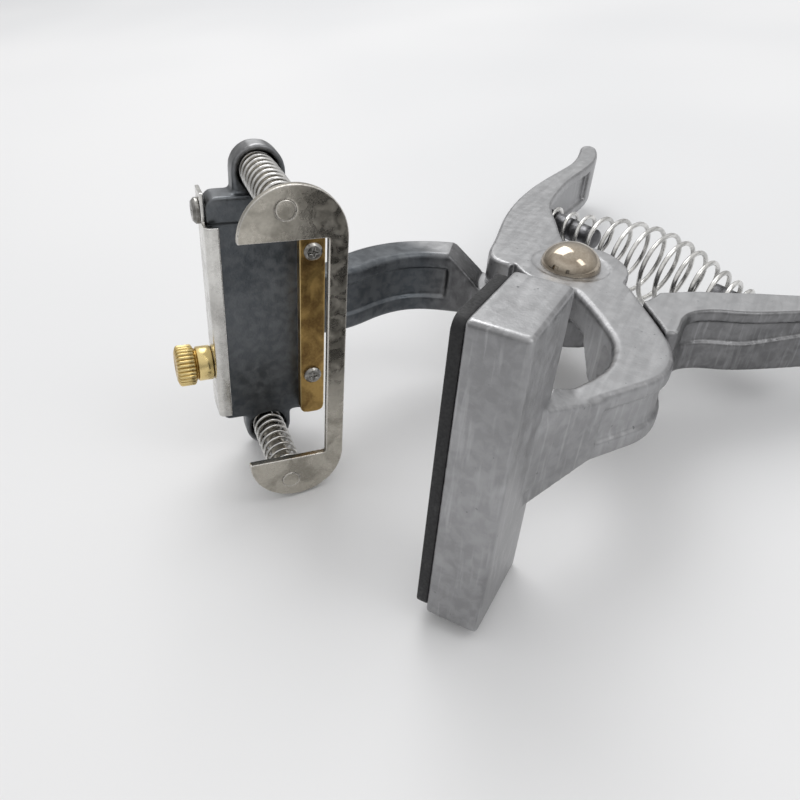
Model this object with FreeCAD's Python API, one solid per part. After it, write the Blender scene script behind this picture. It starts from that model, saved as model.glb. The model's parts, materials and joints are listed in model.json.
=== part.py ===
"""Livestock ear tattoo pliers: two crossing cast levers on one rivet.

One jaw carries a rubber-faced anvil, the other a tray for the number blocks
with a sprung release plate in front of it. Units are millimetres. The origin
lies on the pivot axis at half the height of the castings, +Z runs up the
rivet, and the anvil's pad faces -X. The tray lever is drawn with the jaws
closed and then turned open about Z by JAW_OPENING.
"""
import FreeCAD, Part
import math
import os

V = FreeCAD.Vector
Z_AXIS = V(0, 0, 1)
Y_AXIS = V(0, 1, 0)
X_AXIS = V(1, 0, 0)

# ---- castings -------------------------------------------------------------
JAW_OPENING = 40.7        # turn of the tray lever from closed to rest, degrees
LEVER_HEIGHT = 20.0       # height of both castings along the rivet
HUB_RADIUS = 18.0         # round hub of each lever
LAP_RADIUS = 28.5         # radius inside which each lever has half the height
LAP_GAP = 0.1             # air between the two half-height hubs
EDGE_FILLET = 1.0         # cast edge of the handles
ARM_EDGE_FILLET = 1.8     # rounder cast edge of the arms
SHOULDER_GAP = 0.3        # tray lever's shoulder to the anvil lever's arm at rest
HANDLE_SPLAY = 11.0       # extra turn of the tray lever's handle, closed
POCKET_DEPTH = 2.0        # side recess that leaves an I-shaped section
POCKET_HEIGHT = 12.4      # height of the recess on the inner side of a handle

RECESS_START_Y = 43.0     # inner recess of a handle, from the pivot
RECESS_END_Y = 112.0
HANDLE_WEB_X = -28.0      # a line that runs inside the handle's web
GROOVE_DEPTH = 1.4        # outer groove of a handle
GROOVE_TOP_Z = 6.4
GROOVE_LOW_Z = -0.6
GROOVE_START_Y = 22.0
GROOVE_TURN_Y = 44.0      # where the groove starts to taper
GROOVE_END_Y = 92.0
GROOVE_END_Z = 5.0
ARM_RECESS_DEPTH = 1.3    # recesses along the sides of both arms
ARM_RECESS_TOP_Z = 5.4
ARM_RECESS_LOW_Z = -4.6
ANVIL_RECESS_START_Y = -36.0
ANVIL_RECESS_END_Y = -77.0
TRAY_RECESS_START_Y = -35.0
TRAY_RECESS_END_Y = -74.0
RAMP_FOOT = 27.0          # slope of an arm down to the lap, from the pivot
RAMP_TOP = 37.6
RAMP_ANGLE = -123.5       # direction of that slope on the tray lever, degrees

# ---- anvil and pad --------------------------------------------------------
ANVIL_FACE_X = 5.6        # metal face under the pad
ANVIL_THICKNESS = 13.3
ANVIL_WIDTH = 26.3
ANVIL_HEIGHT = 80.0
ANVIL_NEAR_Y = -106.4     # end of the anvil away from the pivot
ANVIL_FILLET = 1.0
PAD_THICKNESS = 2.9
PAD_MARGIN = 0.6          # metal left showing round the pad
PAD_CORNER = 3.0
ROOT_NEAR_Y = -75.5       # where the arm spreads onto the anvil's back
ROOT_FAR_Y = -88.0
ROOT_TOP_Z = 12.6
ROOT_LOW_Z = -16.0
ROOT_START = (26.0, -66.5)  # on the arm, where it starts to spread
ROOT_START_WIDTH = 7.6
ROOT_START_HEIGHT = 17.0
ROOT_TURN = -26.0         # heading of the arm there, degrees from -Y

# ---- tray, drawn with the jaws closed -------------------------------------
TRAY_CENTRE_Y = -94.9     # line of the two guide pins
TRAY_LIP_X = -5.2         # common front plane of brass rail and gate lip
SLOT_DEPTH = 4.6          # from that plane to the floor of the number slot
TRAY_THICKNESS = 6.4      # metal behind the slot floor
TRAY_HEIGHT = 70.6
TRAY_LEFT = 14.4          # from the pin line to the gate side
TRAY_RIGHT = 16.4         # from the pin line to the rail side
TOP_STOP_HEIGHT = 7.0     # solid end wall over the slot
TRAY_CORNER = 3.0         # rounded corners of the tray's outline

# ---- brass rail and its screws --------------------------------------------
RAIL_WIDTH = 7.3
RAIL_THICKNESS = 3.0
RAIL_LENGTH = 68.0
RAIL_CORNER = 2.0
RAIL_OVERHANG = 1.4       # lip of the rail over the number slot
RAIL_SCREW_SPACING = 40.0
SCREW_HEAD_DIAMETER = 5.3
SCREW_HEAD_HEIGHT = 1.4
SCREW_SHANK_DIAMETER = 3.0
SCREW_SHANK_LENGTH = 7.0
RECESS_WIDTH = 0.7        # arms of the cross recess in a screw head
RECESS_LENGTH = 2.7
RECESS_DEPTH = 0.8

# ---- gate, its screw and the thumbscrew -----------------------------------
GATE_SHEET = 1.1
GATE_LIP_WIDTH = 3.7      # lip over the open side of the slot
GATE_TOP_Z = 28.4
GATE_BOTTOM_Z = -30.6
GATE_TAB_WIDTH = 7.0
GATE_TAB_RISE = 5.6       # tab above the gate screw
GATE_BEND = 0.5           # inner radius of the fold
GATE_SCREW_Z = 30.6
GATE_SCREW_HEAD = 6.8
GATE_SCREW_HEIGHT = 1.7
KNOB_Z = -15.6
KNOB_DIAMETER = 12.0
KNOB_LENGTH = 5.4
KNOB_TEETH = 24
KNOB_TOOTH_DEPTH = 0.45
COLLAR_DIAMETER = 10.2
COLLAR_LENGTH = 4.4
COLLAR_GROOVE = 0.5
KNOB_SHANK_DIAMETER = 4.0
KNOB_SHANK_LENGTH = 8.0
SHANK_CLEARANCE = 0.3     # gate slot round the thumbscrew's shank
THREAD_CLEARANCE = 0.05   # radial, thumbscrew in the tray
GATE_SCREW_CLEARANCE = 0.08
GATE_GAP = 0.1            # gate to tray, and to the heads that hold it
GATE_BACK_MARGIN = 0.6    # gate's rear edge in front of the tray's back
KNOB_CHAMFER = 0.6

# ---- sprung release plate -------------------------------------------------
PLATE_FACE_X = 16.8       # front face at rest, drawn with the jaws closed
PLATE_THICKNESS = 2.0
PLATE_LOBE_RADIUS = 13.5  # half-round ends
PLATE_LOBE_EDGE_Z = 32.9  # straight edge of each half-round end
PLATE_LOBE_OFFSET = 1.95  # lobe centre from the pin line
PLATE_BAR_WIDTH = 5.0
PIN_Z = 40.5
PIN_DIAMETER = 5.0
PIN_RIVET_HEIGHT = 0.2
PIN_TAIL = 2.2            # pin showing behind the boss at rest
PIN_GROOVE_DEPTH = 0.5
CLIP_DIAMETER = 8.6
CLIP_THICKNESS = 0.8
CLIP_GAP = 0.3            # clip to boss at rest
BOSS_RADIUS = 7.0
BOSS_LENGTH = 6.4
BOSS_RIM_SET_BACK = 5.0   # boss rim behind the rail and lip plane
BOSS_BORE_DIAMETER = 11.0
BOSS_FLOOR = 1.6
PIN_CLEARANCE = 0.08      # radial, pin in the boss floor
PLATE_SPRING_WIRE = 0.9
PLATE_SPRING_RADIUS = 4.6
PLATE_SPRING_TURNS = 10

# ---- rivet, pegs and return spring ----------------------------------------
RIVET_HEAD_DIAMETER = 18.8
RIVET_HEAD_HEIGHT = 7.1
RIVET_SHANK_DIAMETER = 9.0
RIVET_CLEARANCE = 0.05    # radial, rivet in the turning lever
RIVET_TAIL_DIAMETER = 14.0
RIVET_TAIL_HEIGHT = 1.8
DOME_RIM_SHARE = 0.65     # radius at the rim of a domed head, over its height
SPOT_FACE_RADIUS = 12.4
SPOT_FACE_DEPTH = 0.4
WASHER_DIAMETER = 20.0
WASHER_THICKNESS = 1.2
PEG_DIAMETER = 8.0
PEG_LENGTH = 25.0
PEG_SEAT_DEPTH = 4.0      # peg pressed into the handle's web
SPRING_WIRE = 1.4
SPRING_END_RADIUS = 5.1   # mean radius of the coils on the pegs
SPRING_MID_RADIUS = 12.4  # mean radius at the belly
SPRING_SET_OFF = 2.6      # first coil from the handle's web
SPRING_TURNS = 15
PEG_CHAMFER = 0.8
ARC_TOLERANCE = 0.12      # between the arcs of an outline and its smooth curve
COIL_STEPS = 12           # straight chords in one turn of wire
WIRE_SIDES = 6            # flats round the drawn wire

# ---- plan outlines of the castings ----------------------------------------
ANVIL_ARM_OUTER = [(14, 2), (20.9, -5.9), (27.6, -16.5), (35.5, -29.3), (39.6, -41),
                   (39.2, -50), (35.0, -58.5), (30.0, -66.5), (25.0, -74.5), (21.0, -83),
                   (18.0, -92)]
ANVIL_ARM_INNER = [(12, -86), (18.0, -76), (22.0, -65), (25.2, -56), (25.3, -48.5),
                   (23.6, -41), (19.5, -34), (15, -27.5), (4, -15)]
TRAY_ARM_OUTER = [(-13.0, 2), (-20.0, -17), (-25.6, -30), (-29.0, -41), (-29.2, -52),
                  (-25.8, -63.5), (-20.6, -73), (-15.5, -84)]
TRAY_ARM_INNER = [(-10.2, -84), (-10.3, -75), (-11.6, -67), (-15.0, -59), (-17.6, -50),
                  (-17.2, -42), (-13.5, -33.5), (-9, -26), (-3, -16)]
HANDLE_OUTER = [(-33.8, 36.8), (-34.9, 56.9), (-34.2, 76.8), (-32.3, 94.6), (-31.4, 108.5),
                (-32.5, 121), (-34.2, 130.5)]
HANDLE_TIP = [(-34.9, 135.4), (-34.2, 138.3), (-31.6, 139.8), (-29.0, 138.0)]
HANDLE_INNER = [(-27.0, 133.5), (-24.8, 126), (-23.5, 117), (-23.3, 107.6), (-24.0, 94),
                (-24.7, 80.8), (-23.9, 64), (-21.5, 48.1)]
ANVIL_ROOT_OUTER = [(-16, -12), (-22.7, -10), (-27.2, 3.4), (-30.4, 17.6)]
ANVIL_ROOT_INNER = [(-15.7, 35), (-9.4, 20.9), (-4, 12)]
TRAY_ROOT_INNER = [(14, 8), (22, 13), (24.2, 20.4), (25.4, 28), (28.0, 35)]
TRAY_ROOT_OUTER = [(38.2, 25), (37.4, 18.6)]
TRAY_SHOULDER = [(38.6, 14.2), (41.6, 10.2), (44.4, 6.9), (45.9, 4.6), (45.4, 2.9),
                 (43.2, 1.2), (40.0, 1.6), (31.7, 4.3), (25.8, 5.5), (14, 4)]
SPRING_SEAT = (-25.8, 61.0)  # foot of the spring peg on the anvil handle's web

# ---- worked out from the above --------------------------------------------
HALF = LEVER_HEIGHT / 2
ANVIL_BACK_X = ANVIL_FACE_X + ANVIL_THICKNESS
PAD_FACE_X = ANVIL_FACE_X - PAD_THICKNESS
SLOT_FLOOR_X = TRAY_LIP_X - SLOT_DEPTH
TRAY_BACK_X = SLOT_FLOOR_X - TRAY_THICKNESS
TRAY_LEFT_Y = TRAY_CENTRE_Y - TRAY_LEFT
TRAY_RIGHT_Y = TRAY_CENTRE_Y + TRAY_RIGHT
SIDE_SCREW_X = (SLOT_FLOOR_X + TRAY_BACK_X) / 2
BOSS_RIM_X = TRAY_LIP_X - BOSS_RIM_SET_BACK
BOSS_BACK_X = BOSS_RIM_X - BOSS_LENGTH
BOSS_FLOOR_X = BOSS_BACK_X + BOSS_FLOOR
PLATE_BACK_X = PLATE_FACE_X - PLATE_THICKNESS
GATE_OUTER_Y = TRAY_LEFT_Y - GATE_GAP - GATE_SHEET
GATE_OUTER_OFFSET = 2 * GATE_GAP + GATE_SHEET
RAIL_SCREW_Y = TRAY_RIGHT_Y - RAIL_WIDTH / 2
RAIL_SCREW_ZS = (RAIL_SCREW_SPACING / 2, -RAIL_SCREW_SPACING / 2)


def smooth_run(points):
    """Tangent arcs that follow the smooth curve through the points."""
    curve = Part.BSplineCurve()
    curve.interpolate([V(x, y, 0) for x, y in points])
    return [arc.toShape() for arc in curve.toBiArcs(ARC_TOLERANCE)]


def line(start, end):
    return Part.makeLine(V(*start, 0), V(*end, 0))


def plan_face(*runs):
    """A flat face whose boundary is smooth runs of points joined by straight lines."""
    edges = []
    for index, run in enumerate(runs):
        following = runs[(index + 1) % len(runs)]
        edges += smooth_run(run)
        if run[-1] != following[0]:
            edges.append(line(run[-1], following[0]))
    return Part.Face(Part.Wire(edges))


def prism(face, low, high):
    base = face.copy()
    base.translate(V(0, 0, low))
    return base.extrude(V(0, 0, high - low))


def cylinder(radius, start, length, axis):
    return Part.makeCylinder(radius, length, start, axis)


def box(x0, x1, y0, y1, z0, z1):
    return Part.makeBox(x1 - x0, y1 - y0, z1 - z0, V(x0, y0, z0))


def mirrored(points):
    return [(-x, y) for x, y in points]


def turned(points, degrees):
    c = math.cos(math.radians(degrees))
    s = math.sin(math.radians(degrees))
    return [(x * c - y * s, x * s + y * c) for x, y in points]


def opened(shape):
    """The shape turned from the closed position to the open rest position."""
    result = shape.copy()
    result.rotate(V(0, 0, 0), Z_AXIS, -JAW_OPENING)
    return result


def rounded_prism(face, low, high, radius):
    """An upright prism with the curved part of its two outlines rounded."""
    solid = prism(face, low, high)
    rims = [edge for edge in solid.Edges if abs(edge.BoundBox.ZLength) < 0.001
            and edge.Curve.TypeId != "Part::GeomLine"]
    return solid.makeFillet(radius, rims)


def coil(start, axis, length, turns, wire, radius_at):
    """Wire wound round an axis; radius_at gives the mean radius along 0..1."""
    frame = FreeCAD.Rotation(Z_AXIS, axis)
    usable = length - wire
    steps = turns * COIL_STEPS
    sections = []
    for step in range(steps + 1):
        share = step / steps
        angle = 2 * math.pi * step / COIL_STEPS
        radius = radius_at(share)
        height = wire / 2 + usable * share
        out = V(math.cos(angle), math.sin(angle), 0)
        corners = []
        for side in range(WIRE_SIDES):
            turn = 2 * math.pi * side / WIRE_SIDES
            reach = radius + wire / 2 * math.cos(turn)
            rise = height + wire / 2 * math.sin(turn)
            corners.append(start + frame.multVec(out * reach + Z_AXIS * rise))
        sections.append(Part.makePolygon(corners + corners[:1]))
    return Part.makeLoft(sections, True, True)


# ---- the two castings -----------------------------------------------------
def anvil_handle_face():
    return plan_face(ANVIL_ROOT_OUTER + HANDLE_OUTER + HANDLE_TIP + HANDLE_INNER
                     + ANVIL_ROOT_INNER)


def tray_handle_face():
    handle = turned(mirrored(HANDLE_OUTER + HANDLE_TIP + HANDLE_INNER), -HANDLE_SPLAY)
    return plan_face(TRAY_ROOT_INNER + handle[::-1] + TRAY_ROOT_OUTER + TRAY_SHOULDER)


def beside(face, region, depth):
    """What a side recess takes away: the region outside the outline moved in by depth."""
    core = face.makeOffset2D(-depth)
    return region.cut(prism(core, -2 * HALF, 2 * HALF))


def handle_recess_regions():
    """Regions of the long inner recess and of the tapering outer groove of a handle."""
    half = POCKET_HEIGHT / 2
    inner = box(HANDLE_WEB_X, 0, RECESS_START_Y, RECESS_END_Y, -half, half)
    side = [(GROOVE_START_Y, GROOVE_LOW_Z), (GROOVE_TURN_Y, GROOVE_LOW_Z),
            (GROOVE_END_Y, GROOVE_END_Z), (GROOVE_END_Y, GROOVE_TOP_Z),
            (GROOVE_START_Y, GROOVE_TOP_Z)]
    corners = [V(2 * HANDLE_OUTER[1][0], y, z) for y, z in side]
    outline = Part.Face(Part.makePolygon(corners + corners[:1]))
    outer = outline.extrude(V(HANDLE_WEB_X - corners[0].x, 0, 0))
    return inner, outer


def tray_side(shape):
    """A shape of the anvil lever's handle carried over to the tray lever's handle."""
    result = shape.mirror(V(0, 0, 0), X_AXIS)
    result.rotate(V(0, 0, 0), Z_AXIS, -HANDLE_SPLAY)
    return result


def lap_cut(sign):
    """Room for the other lever's half-height hub, above or below the lap plane."""
    start = V(0, 0, -LAP_GAP / 2 * sign)
    return cylinder(LAP_RADIUS, start, 2 * HALF, Z_AXIS * sign)


def ramp_cut(angle, sign):
    """Slope that brings an arm from full height down to the lap plane at the hub."""
    side = [V(0, 0, 0), V(RAMP_FOOT, 0, 0), V(RAMP_TOP, 0, sign * HALF),
            V(RAMP_TOP, 0, 2 * sign * HALF), V(0, 0, 2 * sign * HALF)]
    wedge = Part.Face(Part.makePolygon(side + side[:1])).extrude(V(0, 2 * RAMP_TOP, 0))
    wedge.translate(V(0, -RAMP_TOP, 0))
    wedge.rotate(V(0, 0, 0), Z_AXIS, angle)
    return wedge


def arm_recess(face, low_y, high_y):
    region = box(-2 * RAMP_TOP, 2 * RAMP_TOP, low_y, high_y, ARM_RECESS_LOW_Z,
                 ARM_RECESS_TOP_Z)
    return beside(face, region, ARM_RECESS_DEPTH)


def arm_root():
    """Spread foot that joins the bowed arm to the anvil's back."""
    half_width = ROOT_START_WIDTH / 2
    half_height = ROOT_START_HEIGHT / 2
    near = [V(ANVIL_BACK_X - ANVIL_FILLET, y, z)
            for y, z in ((ROOT_NEAR_Y, ROOT_TOP_Z), (ROOT_NEAR_Y, ROOT_LOW_Z),
                         (ROOT_FAR_Y, ROOT_LOW_Z), (ROOT_FAR_Y, ROOT_TOP_Z))]
    far = []
    for across, rise in ((-1, 1), (-1, -1), (1, -1), (1, 1)):
        corner = turned([(across * half_width, 0)], ROOT_TURN)[0]
        far.append(V(ROOT_START[0] + corner[0], ROOT_START[1] + corner[1],
                     rise * half_height))
    return Part.makeLoft([Part.makePolygon(near + near[:1]), Part.makePolygon(far + far[:1])],
                         True, True)


def peg_line():
    """Foot of each spring peg and the direction from the anvil's to the tray's."""
    foot = V(*SPRING_SEAT, 0)
    other = V(*turned(mirrored([SPRING_SEAT]), -HANDLE_SPLAY - JAW_OPENING)[0], 0)
    return foot, other, (other - foot).normalize()


def peg(foot, along):
    body = cylinder(PEG_DIAMETER / 2, foot - along * PEG_SEAT_DEPTH,
                    PEG_SEAT_DEPTH + PEG_LENGTH, along)
    end = foot + along * PEG_LENGTH
    rim = [edge for edge in body.Edges
           if edge.Closed and edge.CenterOfMass.distanceToPoint(end) < PEG_DIAMETER / 4]
    return body.makeChamfer(PEG_CHAMFER, rim)


def anvil_block():
    block = box(ANVIL_FACE_X, ANVIL_BACK_X, ANVIL_NEAR_Y, ANVIL_NEAR_Y + ANVIL_WIDTH,
                -ANVIL_HEIGHT / 2, ANVIL_HEIGHT / 2)
    kept_sharp = ANVIL_FACE_X + 0.001
    edges = [edge for edge in block.Edges if edge.BoundBox.XMax > kept_sharp]
    return block.makeFillet(ANVIL_FILLET, edges)


def anvil_lever():
    arm_face = plan_face(ANVIL_ARM_OUTER, ANVIL_ARM_INNER)
    handle_face = anvil_handle_face()
    arm = rounded_prism(arm_face, -HALF, HALF, ARM_EDGE_FILLET)
    handle = rounded_prism(handle_face, -HALF, HALF, EDGE_FILLET)
    inner, outer = handle_recess_regions()
    handle = handle.cut([beside(handle_face, inner, POCKET_DEPTH),
                         beside(handle_face, outer, GROOVE_DEPTH)])
    arm = arm.cut([arm_recess(arm_face, ANVIL_RECESS_END_Y, ANVIL_RECESS_START_Y),
                   ramp_cut(-180 - RAMP_ANGLE, -1)])
    hub = cylinder(HUB_RADIUS, V(0, 0, 0), HALF, Z_AXIS)
    lever = hub.fuse([arm, handle]).cut(lap_cut(-1)).fuse([anvil_block(), arm_root()])
    foot, _, along = peg_line()
    spot = cylinder(SPOT_FACE_RADIUS, V(0, 0, HALF - SPOT_FACE_DEPTH), HALF, Z_AXIS)
    bore = cylinder(RIVET_SHANK_DIAMETER / 2, V(0, 0, -HALF), 2 * HALF, Z_AXIS)
    return lever.cut([spot, bore, peg(foot, along)]).removeSplitter()


def tray_block():
    half = TRAY_HEIGHT / 2
    back = box(TRAY_BACK_X, SLOT_FLOOR_X, TRAY_LEFT_Y, TRAY_RIGHT_Y, -half, half)
    seat_x = TRAY_LIP_X - RAIL_THICKNESS
    rail_wall = box(SLOT_FLOOR_X, seat_x, TRAY_RIGHT_Y - RAIL_WIDTH + RAIL_OVERHANG,
                    TRAY_RIGHT_Y, -half, half)
    stop = box(SLOT_FLOOR_X, seat_x, TRAY_LEFT_Y, TRAY_RIGHT_Y, half - TOP_STOP_HEIGHT, half)
    block = back.fuse([rail_wall, stop]).removeSplitter()
    reach = (TRAY_LEFT + TRAY_RIGHT) / 2
    middle = (TRAY_LEFT_Y + TRAY_RIGHT_Y) / 2
    corners = [edge for edge in block.Edges
               if abs(abs(edge.CenterOfMass.z) - half) < 0.001
               and abs(abs(edge.CenterOfMass.y - middle) - reach) < 0.001]
    return block.makeFillet(TRAY_CORNER, corners)


def shoulder_clearance():
    """Where the anvil lever's arm lies at rest, grown by the gap to the shoulder."""
    arm = plan_face(ANVIL_ARM_OUTER, ANVIL_ARM_INNER)
    arm.rotate(V(0, 0, 0), Z_AXIS, JAW_OPENING)
    grown = prism(arm.makeOffset2D(SHOULDER_GAP), -2 * HALF, 2 * HALF)
    return grown.cut(cylinder(LAP_RADIUS, V(0, 0, -2 * HALF), 4 * HALF, Z_AXIS))


def boss_shapes(pin_z):
    """The spring boss with its neck to the tray, its bore and its pin hole."""
    centre = V(BOSS_BACK_X, TRAY_CENTRE_Y, pin_z)
    toward_tray = -math.copysign(1, pin_z)
    round_part = cylinder(BOSS_RADIUS, centre, BOSS_LENGTH, X_AXIS)
    ends = sorted([pin_z, toward_tray * -(TRAY_HEIGHT / 2 - BOSS_RADIUS)])
    neck = box(BOSS_BACK_X, BOSS_RIM_X, TRAY_CENTRE_Y - BOSS_RADIUS,
               TRAY_CENTRE_Y + BOSS_RADIUS, ends[0], ends[1])
    bore = cylinder(BOSS_BORE_DIAMETER / 2, V(BOSS_FLOOR_X, TRAY_CENTRE_Y, pin_z),
                    TRAY_LIP_X - BOSS_FLOOR_X, X_AXIS)
    hole = cylinder(PIN_DIAMETER / 2 + PIN_CLEARANCE, centre, BOSS_LENGTH, X_AXIS)
    return round_part.fuse(neck), bore.fuse(hole)


def side_hole(diameter, length, z):
    return cylinder(diameter / 2, V(SIDE_SCREW_X, TRAY_LEFT_Y, z), length, Y_AXIS)


def rail_screw_holes():
    reach = SCREW_SHANK_LENGTH + SCREW_HEAD_HEIGHT
    return [cylinder(SCREW_SHANK_DIAMETER / 2, V(TRAY_LIP_X - reach, RAIL_SCREW_Y, z),
                     reach, X_AXIS) for z in RAIL_SCREW_ZS]


def tray_lever():
    arm_face = plan_face(TRAY_ARM_OUTER, TRAY_ARM_INNER)
    handle_face = tray_handle_face()
    arm = rounded_prism(arm_face, -HALF, HALF, ARM_EDGE_FILLET)
    handle = rounded_prism(handle_face, -HALF, HALF, EDGE_FILLET)
    inner, outer = [tray_side(region) for region in handle_recess_regions()]
    handle = handle.cut([beside(handle_face, inner, POCKET_DEPTH),
                         beside(handle_face, outer, GROOVE_DEPTH), shoulder_clearance()])
    arm = arm.cut([arm_recess(arm_face, TRAY_RECESS_END_Y, TRAY_RECESS_START_Y),
                   ramp_cut(RAMP_ANGLE, 1)])
    hub = cylinder(HUB_RADIUS, V(0, 0, -HALF), HALF, Z_AXIS)
    bosses, bores = zip(*[boss_shapes(z) for z in (PIN_Z, -PIN_Z)])
    lever = hub.fuse([arm, handle]).cut(lap_cut(1)).fuse([tray_block(), *bosses])
    _, foot, along = peg_line()
    closed_peg = peg(foot, -along)
    closed_peg.rotate(V(0, 0, 0), Z_AXIS, JAW_OPENING)
    rivet_bore = cylinder(RIVET_SHANK_DIAMETER / 2 + RIVET_CLEARANCE, V(0, 0, -HALF),
                          2 * HALF, Z_AXIS)
    holes = [side_hole(SCREW_SHANK_DIAMETER, SCREW_SHANK_LENGTH, GATE_SCREW_Z),
             side_hole(KNOB_SHANK_DIAMETER + 2 * THREAD_CLEARANCE, KNOB_SHANK_LENGTH, KNOB_Z)]
    holes += rail_screw_holes()
    return lever.cut([*bores, *holes, rivet_bore, closed_peg]).removeSplitter()


# ---- pad, rail, gate and their fasteners ----------------------------------
def rubber_pad():
    half = ANVIL_HEIGHT / 2 - PAD_MARGIN
    pad = box(PAD_FACE_X, ANVIL_FACE_X, ANVIL_NEAR_Y + PAD_MARGIN,
              ANVIL_NEAR_Y + ANVIL_WIDTH - PAD_MARGIN, -half, half)
    corners = [edge for edge in pad.Edges if edge.BoundBox.XLength > PAD_THICKNESS / 2]
    return pad.makeFillet(PAD_CORNER, corners)


def number_rail():
    half = RAIL_LENGTH / 2
    rail = box(TRAY_LIP_X - RAIL_THICKNESS, TRAY_LIP_X, TRAY_RIGHT_Y - RAIL_WIDTH,
               TRAY_RIGHT_Y, -half, half)
    corners = [edge for edge in rail.Edges if edge.BoundBox.XLength > RAIL_THICKNESS / 2]
    rounded = rail.makeFillet(RAIL_CORNER, corners)
    return rounded.cut(rail_screw_holes())


def cross_recess(top, outward):
    """Cross-shaped driver recess cut down from the top of a screw head."""
    frame = FreeCAD.Rotation(Z_AXIS, outward)
    arms = []
    for long_x, long_y in ((RECESS_LENGTH, RECESS_WIDTH), (RECESS_WIDTH, RECESS_LENGTH)):
        arm = Part.makeBox(long_x, long_y, 2 * RECESS_DEPTH,
                           V(-long_x / 2, -long_y / 2, -RECESS_DEPTH))
        arm.Placement = FreeCAD.Placement(top, frame)
        arms.append(arm)
    return arms[0].fuse(arms[1])


def pan_head_screw(seat, outward, head_diameter, head_height):
    """Screw with a bevelled head seated at a point and its shank running inward."""
    head = cylinder(head_diameter / 2, seat, head_height, outward)
    top = seat + outward * head_height
    rim = [edge for edge in head.Edges
           if edge.Closed and edge.CenterOfMass.distanceToPoint(top) < head_height / 4]
    head = head.makeChamfer(head_height / 2, rim)
    shank = cylinder(SCREW_SHANK_DIAMETER / 2, seat, SCREW_SHANK_LENGTH, -outward)
    return head.fuse(shank).cut(cross_recess(top, outward)).removeSplitter()


def rail_screws():
    screws = [pan_head_screw(V(TRAY_LIP_X, RAIL_SCREW_Y, z), X_AXIS, SCREW_HEAD_DIAMETER,
                             SCREW_HEAD_HEIGHT) for z in RAIL_SCREW_ZS]
    return Part.makeCompound(screws)


def gate():
    outer_y = GATE_OUTER_Y
    inner_y = GATE_OUTER_Y + GATE_SHEET
    back_x = TRAY_BACK_X + GATE_BACK_MARGIN
    blade = box(back_x, TRAY_LIP_X, outer_y, outer_y + GATE_LIP_WIDTH, GATE_BOTTOM_Z,
                GATE_TOP_Z)
    bend = [edge for edge in blade.Edges
            if edge.BoundBox.ZLength > GATE_SHEET and abs(edge.CenterOfMass.y - outer_y) < 0.01
            and abs(edge.CenterOfMass.x - TRAY_LIP_X) < 0.01]
    blade = blade.makeFillet(GATE_BEND + GATE_SHEET, bend)
    hollow = box(back_x - GATE_SHEET, TRAY_LIP_X - GATE_SHEET, inner_y,
                 outer_y + 2 * GATE_LIP_WIDTH, GATE_BOTTOM_Z - GATE_SHEET,
                 GATE_TOP_Z + GATE_SHEET)
    blade = blade.cut(hollow)
    top = GATE_SCREW_Z + GATE_TAB_RISE
    tab = box(SIDE_SCREW_X - GATE_TAB_WIDTH / 2, SIDE_SCREW_X + GATE_TAB_WIDTH / 2, outer_y,
              inner_y, GATE_TOP_Z - GATE_SHEET, top)
    slot_half = KNOB_SHANK_DIAMETER / 2 + SHANK_CLEARANCE
    slot = box(back_x - GATE_SHEET, SIDE_SCREW_X, outer_y - GATE_SHEET,
               inner_y + GATE_SHEET, KNOB_Z - slot_half, KNOB_Z + slot_half)
    slot_end = cylinder(slot_half, V(SIDE_SCREW_X, outer_y - GATE_SHEET, KNOB_Z),
                        3 * GATE_SHEET, Y_AXIS)
    hole = cylinder(SCREW_SHANK_DIAMETER / 2 + GATE_SCREW_CLEARANCE,
                    V(SIDE_SCREW_X, outer_y - GATE_SHEET, GATE_SCREW_Z), 3 * GATE_SHEET, Y_AXIS)
    return blade.fuse(tab).cut([slot, slot_end, hole]).removeSplitter()


def gate_screw():
    seat = V(SIDE_SCREW_X, GATE_OUTER_Y - GATE_GAP, GATE_SCREW_Z)
    return pan_head_screw(seat, -Y_AXIS, GATE_SCREW_HEAD, GATE_SCREW_HEIGHT)


def knurled_face(radius, centre):
    """Straight-knurled round outline in the XZ plane."""
    corners = []
    for index in range(2 * KNOB_TEETH):
        angle = math.pi * index / KNOB_TEETH
        reach = radius - KNOB_TOOTH_DEPTH * (index % 2)
        corners.append(centre + V(reach * math.cos(angle), 0, reach * math.sin(angle)))
    return Part.Face(Part.makePolygon(corners + corners[:1]))


def thumbscrew():
    seat = V(SIDE_SCREW_X, GATE_OUTER_Y - GATE_GAP, KNOB_Z)
    collar = cylinder(COLLAR_DIAMETER / 2, seat, COLLAR_LENGTH, -Y_AXIS)
    waist = cylinder(COLLAR_DIAMETER / 2 - COLLAR_GROOVE, seat - Y_AXIS * COLLAR_LENGTH,
                     COLLAR_GROOVE, -Y_AXIS)
    head_start = seat - Y_AXIS * (COLLAR_LENGTH + COLLAR_GROOVE)
    head = knurled_face(KNOB_DIAMETER / 2, head_start).extrude(-Y_AXIS * KNOB_LENGTH)
    end = cylinder(KNOB_DIAMETER / 2, head_start, KNOB_LENGTH, -Y_AXIS)
    rims = [edge for edge in end.Edges if edge.Closed]
    head = head.common(end.makeChamfer(KNOB_CHAMFER, rims))
    shank = cylinder(KNOB_SHANK_DIAMETER / 2, seat, KNOB_SHANK_LENGTH + GATE_OUTER_OFFSET, Y_AXIS)
    return head.fuse([waist, collar, shank]).removeSplitter()


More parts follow.
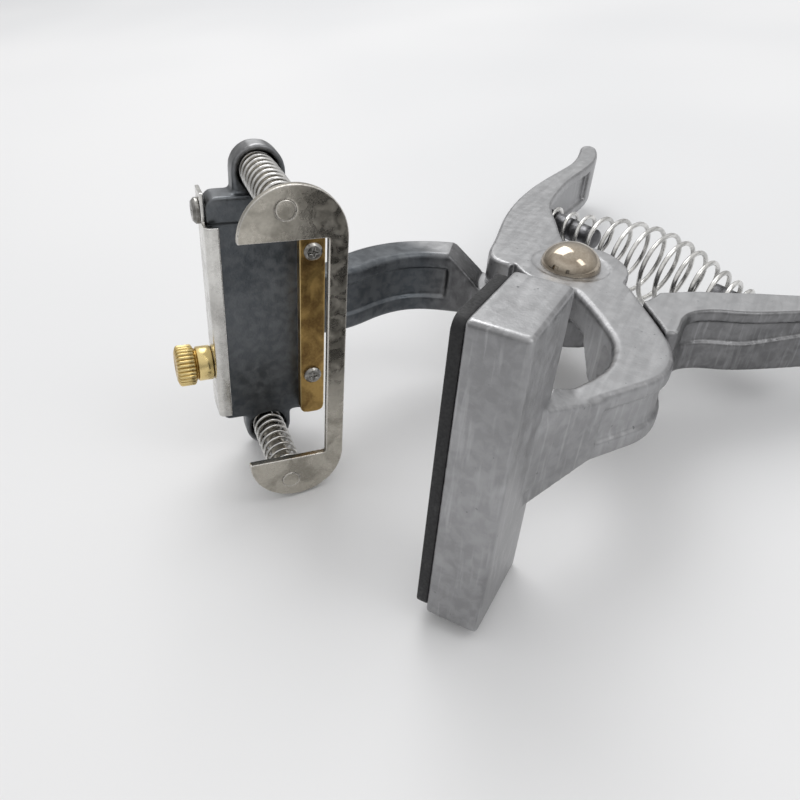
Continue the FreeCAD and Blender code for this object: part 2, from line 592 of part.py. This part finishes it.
# ---- release plate, its pins, clips and springs ---------------------------
def release_plate():
    lobes = []
    centre_y = TRAY_CENTRE_Y + PLATE_LOBE_OFFSET
    for side in (1, -1):
        edge_z = side * PLATE_LOBE_EDGE_Z
        disc = cylinder(PLATE_LOBE_RADIUS, V(PLATE_BACK_X, centre_y, edge_z), PLATE_THICKNESS,
                        X_AXIS)
        low, high = sorted([edge_z, edge_z + side * PLATE_LOBE_RADIUS])
        half = box(PLATE_BACK_X, PLATE_FACE_X, centre_y - PLATE_LOBE_RADIUS,
                   centre_y + PLATE_LOBE_RADIUS, low, high)
        lobes.append(disc.common(half))
    outer_y = centre_y + PLATE_LOBE_RADIUS
    bar = box(PLATE_BACK_X, PLATE_FACE_X, outer_y - PLATE_BAR_WIDTH, outer_y,
              -PLATE_LOBE_EDGE_Z, PLATE_LOBE_EDGE_Z)
    plate = bar.fuse(lobes).removeSplitter()
    holes = [cylinder(PIN_DIAMETER / 2, V(PLATE_BACK_X, TRAY_CENTRE_Y, z), PLATE_THICKNESS,
                      X_AXIS) for z in (PIN_Z, -PIN_Z)]
    return plate.cut(holes)


def pin_groove_start():
    return BOSS_BACK_X - CLIP_GAP - CLIP_THICKNESS


def guide_pin(z):
    tail_x = BOSS_BACK_X - PIN_TAIL
    start = V(tail_x, TRAY_CENTRE_Y, z)
    length = PLATE_FACE_X + PIN_RIVET_HEIGHT - tail_x
    pin = cylinder(PIN_DIAMETER / 2, start, length, X_AXIS)
    ends = [edge for edge in pin.Edges if edge.Closed]
    pin = pin.makeChamfer(PIN_RIVET_HEIGHT, ends)
    groove_start = V(pin_groove_start(), TRAY_CENTRE_Y, z)
    ring = cylinder(PIN_DIAMETER, groove_start, CLIP_THICKNESS, X_AXIS)
    core = cylinder(PIN_DIAMETER / 2 - PIN_GROOVE_DEPTH, groove_start, CLIP_THICKNESS, X_AXIS)
    return pin.cut(ring.cut(core))


def pin_clip(z):
    start = V(pin_groove_start(), TRAY_CENTRE_Y, z)
    disc = cylinder(CLIP_DIAMETER / 2, start, CLIP_THICKNESS, X_AXIS)
    inner = PIN_DIAMETER / 2 - PIN_GROOVE_DEPTH
    core = cylinder(inner, start, CLIP_THICKNESS, X_AXIS)
    mouth = box(start.x, start.x + CLIP_THICKNESS, TRAY_CENTRE_Y, TRAY_CENTRE_Y + CLIP_DIAMETER,
                z - inner, z + inner)
    return disc.cut([core, mouth])


def plate_spring(z):
    start = V(BOSS_FLOOR_X, TRAY_CENTRE_Y, z)
    length = PLATE_BACK_X - BOSS_FLOOR_X
    return coil(start, X_AXIS, length, PLATE_SPRING_TURNS, PLATE_SPRING_WIRE,
                lambda share: PLATE_SPRING_RADIUS)


# ---- pivot rivet, washer and return spring --------------------------------
def dome(centre, diameter, height, outward):
    """Rounded head: a crown arc that runs tangent into a tighter arc at the rim."""
    half = diameter / 2
    rim_radius = DOME_RIM_SHARE * height
    rim_centre = V(half - rim_radius, 0, 0)
    crown_radius = (half ** 2 + height ** 2 - 2 * half * rim_radius) / (height - rim_radius) / 2
    crown_centre = V(0, 0, height - crown_radius)
    lean = math.atan2(crown_radius - height, half - rim_radius)

    def on_arc(middle, radius, angle):
        return middle + V(radius * math.cos(angle), 0, radius * math.sin(angle))

    foot = V(half, 0, 0)
    top = V(0, 0, height)
    joint = on_arc(rim_centre, rim_radius, lean)
    rim = Part.Arc(foot, on_arc(rim_centre, rim_radius, lean / 2), joint)
    crown = Part.Arc(joint, on_arc(crown_centre, crown_radius, (lean + math.pi / 2) / 2), top)
    profile = Part.Wire([Part.makeLine(V(0, 0, 0), foot), rim.toShape(), crown.toShape(),
                         Part.makeLine(top, V(0, 0, 0))])
    head = Part.Face(profile).revolve(V(0, 0, 0), Z_AXIS, 360)
    head.Placement = FreeCAD.Placement(centre, FreeCAD.Rotation(Z_AXIS, outward))
    return head


def pivot_rivet():
    head_z = HALF - SPOT_FACE_DEPTH
    tail_z = -HALF - WASHER_THICKNESS
    head = dome(V(0, 0, head_z), RIVET_HEAD_DIAMETER, RIVET_HEAD_HEIGHT, Z_AXIS)
    tail = dome(V(0, 0, tail_z), RIVET_TAIL_DIAMETER, RIVET_TAIL_HEIGHT, -Z_AXIS)
    shank = cylinder(RIVET_SHANK_DIAMETER / 2, V(0, 0, tail_z), head_z - tail_z, Z_AXIS)
    return shank.fuse([head, tail]).removeSplitter()


def pivot_washer():
    start = V(0, 0, -HALF - WASHER_THICKNESS)
    disc = cylinder(WASHER_DIAMETER / 2, start, WASHER_THICKNESS, Z_AXIS)
    return disc.cut(cylinder(RIVET_SHANK_DIAMETER / 2, start, WASHER_THICKNESS, Z_AXIS))


def return_spring():
    foot, other, along = peg_line()
    start = foot + along * SPRING_SET_OFF
    length = (other - foot).Length - 2 * SPRING_SET_OFF

    def radius_at(share):
        swell = SPRING_MID_RADIUS - SPRING_END_RADIUS
        return SPRING_END_RADIUS + swell * math.sin(math.pi * share) ** 2

    return coil(start, along, length, SPRING_TURNS, SPRING_WIRE, radius_at)


def build():
    foot, other, along = peg_line()
    fixed = {
        "anvil_lever": anvil_lever(),
        "rubber_pad": rubber_pad(),
        "pivot_rivet": pivot_rivet(),
        "pivot_washer": pivot_washer(),
        "spring_peg_anvil_side": peg(foot, along),
        "spring_peg_tray_side": peg(other, -along),
        "return_spring": return_spring(),
    }
    swinging = {
        "tray_lever": tray_lever(),
        "number_rail": number_rail(),
        "rail_screws": rail_screws(),
        "gate": gate(),
        "gate_screw": gate_screw(),
        "thumbscrew": thumbscrew(),
        "release_plate": release_plate(),
    }
    for name, z in (("upper", PIN_Z), ("lower", -PIN_Z)):
        swinging["guide_pin_" + name] = guide_pin(z)
        swinging["pin_clip_" + name] = pin_clip(z)
        swinging["plate_spring_" + name] = plate_spring(z)
    return fixed | {name: opened(shape) for name, shape in swinging.items()}


os.makedirs("parts", exist_ok=True)
for name, shape in build().items():
    shape.exportStep("parts/" + name + ".step")
    print(name, shape.isValid(), len(shape.Solids), round(shape.Volume, 1))
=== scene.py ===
import bpy
import json
import math
from mathutils import Matrix, Vector

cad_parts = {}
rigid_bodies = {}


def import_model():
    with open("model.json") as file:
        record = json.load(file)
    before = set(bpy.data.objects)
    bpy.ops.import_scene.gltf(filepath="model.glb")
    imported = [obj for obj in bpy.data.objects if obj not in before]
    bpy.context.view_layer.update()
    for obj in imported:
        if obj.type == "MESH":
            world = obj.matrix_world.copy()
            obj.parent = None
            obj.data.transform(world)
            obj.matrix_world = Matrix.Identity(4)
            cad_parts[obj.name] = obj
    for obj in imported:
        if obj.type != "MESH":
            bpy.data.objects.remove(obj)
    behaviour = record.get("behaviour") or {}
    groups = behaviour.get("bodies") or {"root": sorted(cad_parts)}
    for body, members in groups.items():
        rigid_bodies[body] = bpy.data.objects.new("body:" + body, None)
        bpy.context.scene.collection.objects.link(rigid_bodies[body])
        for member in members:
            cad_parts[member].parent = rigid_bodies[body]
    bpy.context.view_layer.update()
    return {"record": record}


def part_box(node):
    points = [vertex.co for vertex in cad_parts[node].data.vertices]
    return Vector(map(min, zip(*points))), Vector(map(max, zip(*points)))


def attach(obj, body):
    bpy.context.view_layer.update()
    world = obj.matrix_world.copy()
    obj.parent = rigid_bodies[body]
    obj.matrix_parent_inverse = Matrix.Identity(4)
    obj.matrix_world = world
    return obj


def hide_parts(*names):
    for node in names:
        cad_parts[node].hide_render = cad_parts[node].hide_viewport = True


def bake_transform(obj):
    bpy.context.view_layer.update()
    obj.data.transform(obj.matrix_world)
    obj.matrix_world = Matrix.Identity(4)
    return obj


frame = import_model()

# ---- sizes of the object, millimetres, in the frame's own axes -------------
MM = 0.001
JAW_OPENING = math.radians(40.7)   # the tray side is turned by this from closed
PEG_LENGTH = 25.0
PEG_SEAT_DEPTH = 4.0
SPRING_SET_OFF = 2.6      # first coil from the handle's web
SPRING_TURNS = 15.6
SPRING_WIRE = 1.6
SPRING_END_RADIUS = 5.1
SPRING_MID_RADIUS = 12.6
SPRING_FIRST_PITCH = 7.9  # coils are wide apart at the anvil side
SPRING_LAST_PITCH = 4.2   # and close at the tray side
PLATE_SPRING_LENGTH = 29.8
PLATE_SPRING_RADIUS = 4.5
PLATE_SPRING_WIRE = 0.95
PLATE_SPRING_TURNS = 11.0
RIVET_HEAD_HEIGHT = 7.1
RIVET_SHANK_RADIUS = 4.5
RIVET_TAIL_RADIUS = 7.0
RIVET_TAIL_HEIGHT = 1.8
KNOB_SEAT = Vector((-13.0, -110.6, -15.6))   # on the closed tray side
KNOB_RADIUS = 6.0
KNOB_LENGTH = 5.4
KNOB_TEETH = 30
KNOB_TOOTH_DEPTH = 0.5
COLLAR_RADIUS = 5.1
COLLAR_LENGTH = 4.4
COLLAR_GROOVE = 0.5
KNOB_SHANK_RADIUS = 2.0
KNOB_SHANK_LENGTH = 9.3
BEVEL = 0.35
TRAY_DARK_REACH = 0.040   # metres from the rail's middle, all dark inside this
TRAY_DARK_END = 0.052     # and plain alloy beyond this

# ---- floor, light and camera, metres ----------------------------------------
REST_NORMAL = Vector((-0.1078, -0.1239, 0.9864)).normalized()   # of the surface it lies on
FLOOR_REACH = 8.0
FLOOR_TINTS = ((0.74, 0.745, 0.755), (0.80, 0.80, 0.805))
KEY_PLACE = (-0.60, 0.50, 1.10)
KEY_SIZE = (0.80, 0.80)
KEY_POWER = 5.5
FILL_PLACE = (0.55, -0.10, 0.90)
FILL_SIZE = (0.30, 0.50)
FILL_POWER = 1.1
SKY_TINTS = ((0.40, 0.40, 0.40), (1.0, 1.0, 1.0))   # towards the horizon, overhead
SKY_STRENGTH = 0.90
CAMERA_PLACE = (0.04490, -0.21643, 0.10210)
CAMERA_RIGHT = Vector((0.88486, 0.46056, 0.07006))
CAMERA_DOWN = Vector((0.31475, -0.48016, -0.81877))
CAMERA_AHEAD = Vector((-0.34345, 0.74654, -0.56984))
LENS = 32.957
SENSOR_WIDTH = 36.0

OPENED = Matrix.Rotation(-JAW_OPENING, 4, "Z")   # closed tray side to rest
UNTURNED = Matrix.Identity(4)


# ---- node helpers -----------------------------------------------------------
def node(tree, kind, inputs, **settings):
    made = tree.nodes.new(kind)
    for name, value in settings.items():
        setattr(made, name, value)
    for key, value in inputs.items():
        if isinstance(value, bpy.types.NodeSocket):
            tree.links.new(value, made.inputs[key])
        else:
            made.inputs[key].default_value = value
    return made


def noise(tree, coords, scale, detail=4.0, distortion=0.0):
    return node(tree, "ShaderNodeTexNoise", {"Vector": coords, "Scale": scale, "Detail": detail,
                                             "Distortion": distortion}).outputs[0]


def remap(tree, value, low, high, to_low, to_high):
    return node(tree, "ShaderNodeMapRange",
                {"Value": value, "From Min": low, "From Max": high, "To Min": to_low,
                 "To Max": to_high}, interpolation_type="SMOOTHSTEP").outputs[0]


def mix(tree, share, first, second):
    return node(tree, "ShaderNodeMix", {0: share, 6: first, 7: second},
                data_type="RGBA").outputs[2]


def calc(tree, operation, first, second):
    return node(tree, "ShaderNodeMath", {0: first, 1: second}, operation=operation).outputs[0]


def stretched(tree, coords, scale):
    return node(tree, "ShaderNodeMapping", {"Vector": coords, "Scale": scale}).outputs[0]


def new_material(name, metallic):
    material = bpy.data.materials.new(name)
    material.use_nodes = True
    tree = material.node_tree
    shader = tree.nodes["Principled BSDF"]
    shader.inputs["Metallic"].default_value = metallic
    coords = node(tree, "ShaderNodeTexCoord", {}).outputs["Object"]
    return material, tree, shader, coords


def rgba(colour):
    return (*colour, 1.0)


def plug(tree, shader, colour, roughness, height, depth):
    """Joins colour, roughness and a bump of some depth in millimetres to the shader."""
    tree.links.new(colour, shader.inputs["Base Color"])
    tree.links.new(roughness, shader.inputs["Roughness"])
    bump = node(tree, "ShaderNodeBump", {"Strength": 1.0, "Distance": depth * MM,
                                         "Height": height})
    tree.links.new(bump.outputs[0], shader.inputs["Normal"])


def edge_mask(tree, low, high):
    pointiness = node(tree, "ShaderNodeNewGeometry", {}).outputs["Pointiness"]
    return remap(tree, pointiness, low, high, 0.0, 1.0)


def worn_metal(name, dark, light, roughness, blotch_scale, bump_depth, edge=None):
    """Handled metal: cloudy tarnish, fine grain and, if given, brighter edges."""
    material, tree, shader, coords = new_material(name, 1.0)
    cloud = noise(tree, coords, blotch_scale, 6.0, 0.7)
    grain = noise(tree, coords, 1400.0, 3.0)
    share = calc(tree, "ADD", remap(tree, cloud, 0.36, 0.64, 0.0, 0.85),
                 remap(tree, grain, 0.3, 0.7, 0.0, 0.25))
    colour = mix(tree, share, rgba(dark), rgba(light))
    if edge:
        colour = mix(tree, edge_mask(tree, 0.51, 0.56), colour, rgba(edge))
    scuffs = noise(tree, coords, 260.0, 6.0, 1.2)
    rough = remap(tree, scuffs, 0.35, 0.7, roughness[0], roughness[1])
    height = calc(tree, "ADD", grain, noise(tree, coords, 420.0, 4.0))
    plug(tree, shader, colour, rough, height, bump_depth)
    return material


def cast_aluminium(name, wall_tones, dark_centre=None):
    """Tumbled cast alloy: mottled walls of three greys, linished flats, worn corners, pits.

    Round dark_centre, if given, the alloy is a darker grey.
    """
    material, tree, shader, coords = new_material(name, 1.0)
    cloud = noise(tree, coords, 40.0, 7.0, 0.5)
    mottle = noise(tree, coords, 340.0, 7.0, 0.4)
    grain = noise(tree, coords, 1500.0, 3.0)
    share = calc(tree, "ADD", remap(tree, cloud, 0.34, 0.66, 0.0, 0.45),
                 remap(tree, mottle, 0.35, 0.68, 0.0, 0.55))
    dull_grey, plain_grey, rubbed_grey = [(tone, tone, 1.02 * tone, 1.0) for tone in wall_tones]
    wall = mix(tree, share, dull_grey, plain_grey)
    rubs = noise(tree, stretched(tree, coords, (700.0, 700.0, 70.0)), 1.0, 5.0, 0.3)
    wall = mix(tree, remap(tree, rubs, 0.50, 0.75, 0.0, 0.30), wall, rubbed_grey)
    upward = node(tree, "ShaderNodeSeparateXYZ",
                  {0: node(tree, "ShaderNodeTexCoord", {}).outputs["Normal"]}).outputs[2]
    flat = remap(tree, upward, 0.93, 0.99, 0.0, 1.0)
    drag = noise(tree, stretched(tree, coords, (380.0, 45.0, 380.0)), 1.0, 5.0, 0.4)
    linished = mix(tree, remap(tree, drag, 0.35, 0.65, 0.0, 1.0), rgba((0.45, 0.452, 0.46)),
                   rgba((0.53, 0.532, 0.54)))
    colour = mix(tree, flat, wall, linished)
    pits = remap(tree, noise(tree, coords, 620.0, 2.0), 0.70, 0.76, 0.0, 0.7)
    colour = mix(tree, pits, colour, rgba((0.16, 0.165, 0.17)))
    colour = mix(tree, remap(tree, edge_mask(tree, 0.52, 0.58), 0.0, 1.0, 0.0, 0.55), colour,
                 rgba((0.60, 0.605, 0.61)))
    rough = remap(tree, mottle, 0.3, 0.7, 0.30, 0.46)
    if dark_centre:
        away = node(tree, "ShaderNodeVectorMath", {0: coords, 1: dark_centre},
                    operation="DISTANCE").outputs["Value"]
        near = remap(tree, away, TRAY_DARK_REACH, TRAY_DARK_END, 1.0, 0.0)
        dull = mix(tree, share, rgba((0.075, 0.083, 0.092)), rgba((0.17, 0.18, 0.19)))
        colour = mix(tree, near, colour, dull)
    height = calc(tree, "ADD", calc(tree, "ADD", grain, mottle), drag)
    plug(tree, shader, colour, rough, height, 0.05)
    return material


def rubber(name):
    material, tree, shader, coords = new_material(name, 0.0)
    grain = noise(tree, coords, 1600.0, 4.0)
    dust = remap(tree, noise(tree, coords, 180.0, 6.0, 0.6), 0.55, 0.75, 0.0, 1.0)
    colour = mix(tree, dust, rgba((0.010, 0.010, 0.011)), rgba((0.035, 0.035, 0.036)))
    rough = remap(tree, grain, 0.3, 0.7, 0.5, 0.72)
    plug(tree, shader, colour, rough, grain, 0.04)
    return material


# ---- shape helpers ----------------------------------------------------------
def link_piece(name, mesh, material, body):
    piece = bpy.data.objects.new(name, mesh)
    bpy.context.collection.objects.link(piece)
    mesh.materials.clear()
    mesh.materials.append(material)
    mesh.shade_smooth()
    if body:
        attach(piece, body)
    return piece


def soft_copy(name, material, body, voxel, passes, turned=UNTURNED):
    """Copy of a CAD node with its edges eased, as casting, tumbling or plating leaves them."""
    mesh = bpy.data.objects[name].data.copy()
    mesh.transform(turned.inverted())
    mould = bpy.data.objects.new(name + "_mould", mesh)
    bpy.context.collection.objects.link(mould)
    remesh = mould.modifiers.new("remesh", "REMESH")
    remesh.mode = "VOXEL"
    remesh.voxel_size = voxel * MM
    smooth = mould.modifiers.new("smooth", "SMOOTH")
    smooth.factor = 0.5
    smooth.iterations = passes
    graph = bpy.context.evaluated_depsgraph_get()
    skin = bpy.data.meshes.new_from_object(mould.evaluated_get(graph))
    bpy.data.objects.remove(mould)
    skin.transform(turned)
    piece = link_piece(name + "_skin", skin, material, body)
    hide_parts(name)
    return piece


def lathe(name, profile, place, material, body, teeth=0):
    """Turned piece about its local Z; each profile row is height, radius, tooth depth."""
    steps = max(96, 8 * teeth)
    points = []
    faces = []
    for height, radius, depth in profile:
        for step in range(steps):
            angle = 2 * math.pi * step / steps
            ridge = abs(math.sin(teeth * angle / 2)) if teeth else 0.0
            reach = radius - depth * (1.0 - ridge)
            points.append(Vector((reach * math.cos(angle), reach * math.sin(angle), height)) * MM)
    for row in range(len(profile) - 1):
        for step in range(steps):
            after = (step + 1) % steps
            low, high = row * steps, (row + 1) * steps
            faces.append((low + step, low + after, high + after, high + step))
    faces.append(tuple(reversed(range(steps))))
    faces.append(tuple(range((len(profile) - 1) * steps, len(profile) * steps)))
    mesh = bpy.data.meshes.new(name)
    mesh.from_pydata(points, [], faces)
    mesh.transform(place)
    mesh.update()
    return link_piece(name, mesh, material, body)


def frame_along(origin, along):
    """Placement with its local Z along a direction."""
    return Matrix.Translation(origin) @ along.to_track_quat("Z", "Y").to_matrix().to_4x4()


def wound_wire(name, path, radius, material, wire_sides=14):
    """Round wire along a list of points, with closed ends."""
    curve = bpy.data.curves.new(name + "_path", "CURVE")
    curve.dimensions = "3D"
    curve.bevel_depth = radius
    curve.bevel_resolution = (wire_sides - 4) // 2
    curve.use_fill_caps = True
    spline = curve.splines.new("POLY")
    spline.points.add(len(path) - 1)
    for point, place in zip(spline.points, path):
        point.co = (*place, 1.0)
    holder = bpy.data.objects.new(name + "_path", curve)
    bpy.context.collection.objects.link(holder)
    graph = bpy.context.evaluated_depsgraph_get()
    mesh = bpy.data.meshes.new_from_object(holder.evaluated_get(graph))
    bpy.data.objects.remove(holder)
    return link_piece(name, mesh, material, None)


def helix(place, turns, height_at, radius_at, steps=40):
    count = round(turns * steps)
    points = []
    for index in range(count + 1):
        turn = turns * index / count
        angle = 2 * math.pi * turn
        height = height_at(turn)
        reach = radius_at(height)
        points.append(place @ (Vector((reach * math.cos(angle), reach * math.sin(angle), height))
                               * MM))
    return points


def middle_of(name):
    low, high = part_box(name)
    return (Vector(low) + Vector(high)) / 2


# ---- castings, rail, gate, plate and pegs -----------------------------------
cast = cast_aluminium("cast_alloy", (0.26, 0.39, 0.62))
tray_cast = cast_aluminium("cast_alloy_tray", (0.13, 0.25, 0.46), middle_of("number_rail"))
plate_nickel = worn_metal("plate_nickel", (0.31, 0.29, 0.25), (0.52, 0.49, 0.43),
                          (0.24, 0.42), 130.0, 0.02, (0.70, 0.68, 0.65))
gate_nickel = worn_metal("gate_nickel", (0.46, 0.45, 0.43), (0.72, 0.71, 0.68),
                         (0.18, 0.36), 70.0, 0.015, (0.85, 0.84, 0.82))
rivet_nickel = worn_metal("rivet_nickel", (0.30, 0.25, 0.195), (0.50, 0.44, 0.36),
                          (0.08, 0.16), 120.0, 0.004)
rail_brass = worn_metal("rail_brass", (0.20, 0.12, 0.045), (0.50, 0.33, 0.12),
                        (0.28, 0.46), 150.0, 0.02, (0.72, 0.56, 0.28))
knob_brass = worn_metal("knob_brass", (0.34, 0.21, 0.055), (0.58, 0.40, 0.13),
                        (0.20, 0.34), 160.0, 0.01, (0.76, 0.60, 0.28))
screw_steel = worn_metal("screw_metal", (0.16, 0.155, 0.145), (0.42, 0.41, 0.39),
                         (0.25, 0.42), 300.0, 0.015, (0.6, 0.59, 0.57))
spring_steel = worn_metal("spring_wire", (0.48, 0.475, 0.46), (0.78, 0.77, 0.75),
                          (0.16, 0.30), 200.0, 0.006)
peg_steel = worn_metal("peg_metal", (0.10, 0.10, 0.105), (0.24, 0.24, 0.25),
                       (0.30, 0.45), 180.0, 0.02)
black_rubber = rubber("pad_rubber")

soft_copy("anvil_lever", cast, "anvil_side", 0.5, 9)
soft_copy("tray_lever", tray_cast, "tray_side", 0.5, 9, OPENED)
soft_copy("rubber_pad", black_rubber, "anvil_side", 0.4, 3)
soft_copy("release_plate", plate_nickel, "plate_group", 0.25, 3, OPENED)
soft_copy("gate", gate_nickel, "gate", 0.22, 2, OPENED)
soft_copy("number_rail", rail_brass, "tray_side", 0.25, 3, OPENED)
soft_copy("rail_screws", screw_steel, "tray_side", 0.12, 2, OPENED)
soft_copy("gate_screw", screw_steel, "tray_side", 0.14, 2, OPENED)
for end in ("upper", "lower"):
    soft_copy("guide_pin_" + end, plate_nickel, "plate_group", 0.2, 2, OPENED)
    soft_copy("pin_clip_" + end, screw_steel, "plate_group", 0.16, 2, OPENED)
soft_copy("spring_peg_anvil_side", peg_steel, "anvil_side", 0.3, 3)
soft_copy("spring_peg_tray_side", peg_steel, "tray_side", 0.3, 3)
soft_copy("pivot_washer", screw_steel, "anvil_side", 0.25, 2)


# ---- turned pieces ----------------------------------------------------------
def pivot_rivet():
    low, high = [Vector(corner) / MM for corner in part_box("pivot_rivet")]
    radius = (high.x - low.x) / 2
    tail_foot = low.z + RIVET_TAIL_HEIGHT
    head_foot = high.z - RIVET_HEAD_HEIGHT
    profile = []
    for step in range(9):
        lean = math.pi / 2 * (1 - step / 8)
        profile.append((tail_foot - RIVET_TAIL_HEIGHT * math.sin(lean),
                        max(0.05, RIVET_TAIL_RADIUS * math.cos(lean)), 0.0))
    profile += [(tail_foot, RIVET_SHANK_RADIUS, 0.0), (head_foot, RIVET_SHANK_RADIUS, 0.0)]
    for step in range(25):
        lean = math.pi / 2 * step / 24
        profile.append((head_foot + RIVET_HEAD_HEIGHT * math.sin(lean),
                        max(0.05, radius * math.cos(lean)), 0.0))
    rivet = lathe("rivet_dome", profile, UNTURNED, rivet_nickel, "anvil_side")
    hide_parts("pivot_rivet")


def thumbscrew():
    head = COLLAR_LENGTH + COLLAR_GROOVE
    end = head + KNOB_LENGTH
    tooth = KNOB_TOOTH_DEPTH
    profile = [(-KNOB_SHANK_LENGTH, 0.05, 0.0), (-KNOB_SHANK_LENGTH, KNOB_SHANK_RADIUS, 0.0),
               (0.0, KNOB_SHANK_RADIUS, 0.0), (0.0, COLLAR_RADIUS - BEVEL, 0.0),
               (BEVEL, COLLAR_RADIUS, 0.0), (COLLAR_LENGTH - BEVEL, COLLAR_RADIUS, 0.0),
               (COLLAR_LENGTH, COLLAR_RADIUS - BEVEL, 0.0),
               (COLLAR_LENGTH, COLLAR_RADIUS - COLLAR_GROOVE, 0.0),
               (head, COLLAR_RADIUS - COLLAR_GROOVE, 0.0),
               (head, KNOB_RADIUS - 3 * BEVEL, 0.0), (head + BEVEL, KNOB_RADIUS - BEVEL, tooth),
               (head + 2 * BEVEL, KNOB_RADIUS, tooth), (end - 3 * BEVEL, KNOB_RADIUS, tooth),
               (end - 2 * BEVEL, KNOB_RADIUS - BEVEL / 2, tooth),
               (end - BEVEL, KNOB_RADIUS - 2 * BEVEL, tooth),
               (end, KNOB_RADIUS - 5 * BEVEL, tooth / 2), (end, KNOB_RADIUS / 2, 0.0),
               (end - BEVEL / 2, KNOB_RADIUS / 2 - BEVEL, 0.0), (end - BEVEL / 2, 0.05, 0.0)]
    place = OPENED @ frame_along(KNOB_SEAT * MM, Vector((0, -1, 0)))
    knob = lathe("knurled_knob", profile, place, knob_brass, "thumbscrew", KNOB_TEETH)
    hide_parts("thumbscrew")


# ---- springs ----------------------------------------------------------------
def return_spring():
    near = middle_of("spring_peg_anvil_side")
    far = middle_of("spring_peg_tray_side")
    along = (far - near).normalized()
    to_foot = (PEG_LENGTH - PEG_SEAT_DEPTH) / 2 * MM
    foot = near - along * to_foot
    other = far + along * to_foot
    length = (other - foot).length / MM - 2 * SPRING_SET_OFF
    slack = (SPRING_FIRST_PITCH - SPRING_LAST_PITCH) / (2 * SPRING_TURNS)
    reach = SPRING_FIRST_PITCH * SPRING_TURNS - slack * SPRING_TURNS ** 2

    def height_at(turn):
        climbed = SPRING_FIRST_PITCH * turn - slack * turn ** 2
        return SPRING_SET_OFF + length * climbed / reach

    def radius_at(height):
        swell = math.sin(math.pi * (height - SPRING_SET_OFF) / length) ** 2
        return SPRING_END_RADIUS + (SPRING_MID_RADIUS - SPRING_END_RADIUS) * swell

    path = helix(frame_along(foot, along), SPRING_TURNS, height_at, radius_at)
    spring = wound_wire("handle_spring", path, SPRING_WIRE / 2 * MM, spring_steel)
    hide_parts("return_spring")
    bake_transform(spring)


def plate_spring(end):
    along = OPENED.to_3x3() @ Vector((1, 0, 0))
    start = middle_of("plate_spring_" + end) - along * PLATE_SPRING_LENGTH / 2 * MM
    wire = PLATE_SPRING_WIRE
    first = wire / 2
    last = PLATE_SPRING_LENGTH - wire / 2

    def height_at(turn):
        closed = 1.0
        inner = PLATE_SPRING_TURNS - 2 * closed
        if turn < closed:
            return first + wire * turn
        if turn > PLATE_SPRING_TURNS - closed:
            return last - wire * (PLATE_SPRING_TURNS - turn)
        climb = (last - first - 2 * wire) / inner
        return first + wire + climb * (turn - closed)

    path = helix(frame_along(start, along), PLATE_SPRING_TURNS, height_at,
                 lambda height: PLATE_SPRING_RADIUS)
    spring = wound_wire("tray_spring_" + end, path, wire / 2 * MM, spring_steel)
    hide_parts("plate_spring_" + end)
    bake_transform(spring)


pivot_rivet()
thumbscrew()
return_spring()
plate_spring("upper")
plate_spring("lower")


# ---- floor, light and camera ------------------------------------------------
def rest_plane_offset():
    """Distance of the surface that the tool rests on, along its normal."""
    lowest = []
    for entry in frame["record"]["subparts"]:
        mesh = bpy.data.objects[entry["node"]].data
        lowest.append(min(REST_NORMAL.dot(vertex.co) for vertex in mesh.vertices))
    return min(lowest)


def floor():
    material, tree, shader, coords = new_material("paper_sweep", 0.0)
    cloud = noise(tree, coords, 2.2, 2.0)
    colour = mix(tree, remap(tree, cloud, 0.35, 0.65, 0.0, 1.0), rgba(FLOOR_TINTS[0]),
                 rgba(FLOOR_TINTS[1]))
    rough = remap(tree, cloud, 0.3, 0.7, 0.5, 0.6)
    plug(tree, shader, colour, rough, noise(tree, coords, 900.0, 3.0), 0.01)
    r = FLOOR_REACH
    mesh = bpy.data.meshes.new("floor")
    mesh.from_pydata([(-r, -r, 0), (r, -r, 0), (r, r, 0), (-r, r, 0)], [], [(0, 1, 2, 3)])
    mesh.transform(frame_along(REST_NORMAL * rest_plane_offset(), REST_NORMAL))
    mesh.materials.append(material)
    sheet = bpy.data.objects.new("floor", mesh)
    bpy.context.collection.objects.link(sheet)


def softbox(name, place, size, power):
    light = bpy.data.lights.new(name, "AREA")
    light.shape = "RECTANGLE"
    light.size, light.size_y = size
    light.energy = power
    lamp = bpy.data.objects.new(name, light)
    lamp.location = place
    lamp.rotation_euler = (-Vector(place)).to_track_quat("-Z", "Y").to_euler()
    bpy.context.collection.objects.link(lamp)


def sky():
    world = bpy.data.worlds.new("tent")
    bpy.context.scene.world = world
    world.use_nodes = True
    tree = world.node_tree
    direction = node(tree, "ShaderNodeTexCoord", {}).outputs["Generated"]
    height = node(tree, "ShaderNodeSeparateXYZ", {0: direction}).outputs[2]
    colour = mix(tree, remap(tree, height, -0.1, 0.85, 0.0, 1.0), rgba(SKY_TINTS[0]),
                 rgba(SKY_TINTS[1]))
    tree.links.new(colour, tree.nodes["Background"].inputs[0])
    tree.nodes["Background"].inputs[1].default_value = SKY_STRENGTH


def camera():
    data = bpy.data.cameras.new("camera")
    data.sensor_width = SENSOR_WIDTH
    data.lens = LENS
    data.clip_start = 0.005
    view = bpy.data.objects.new("camera", data)
    turn = Matrix((CAMERA_RIGHT, -CAMERA_DOWN, -CAMERA_AHEAD)).transposed().to_4x4()
    view.matrix_world = Matrix.Translation(CAMERA_PLACE) @ turn
    bpy.context.collection.objects.link(view)
    bpy.context.scene.camera = view


floor()
softbox("key", KEY_PLACE, KEY_SIZE, KEY_POWER)
softbox("fill", FILL_PLACE, FILL_SIZE, FILL_POWER)
sky()
camera()
bpy.context.scene.view_settings.view_transform = "Standard"
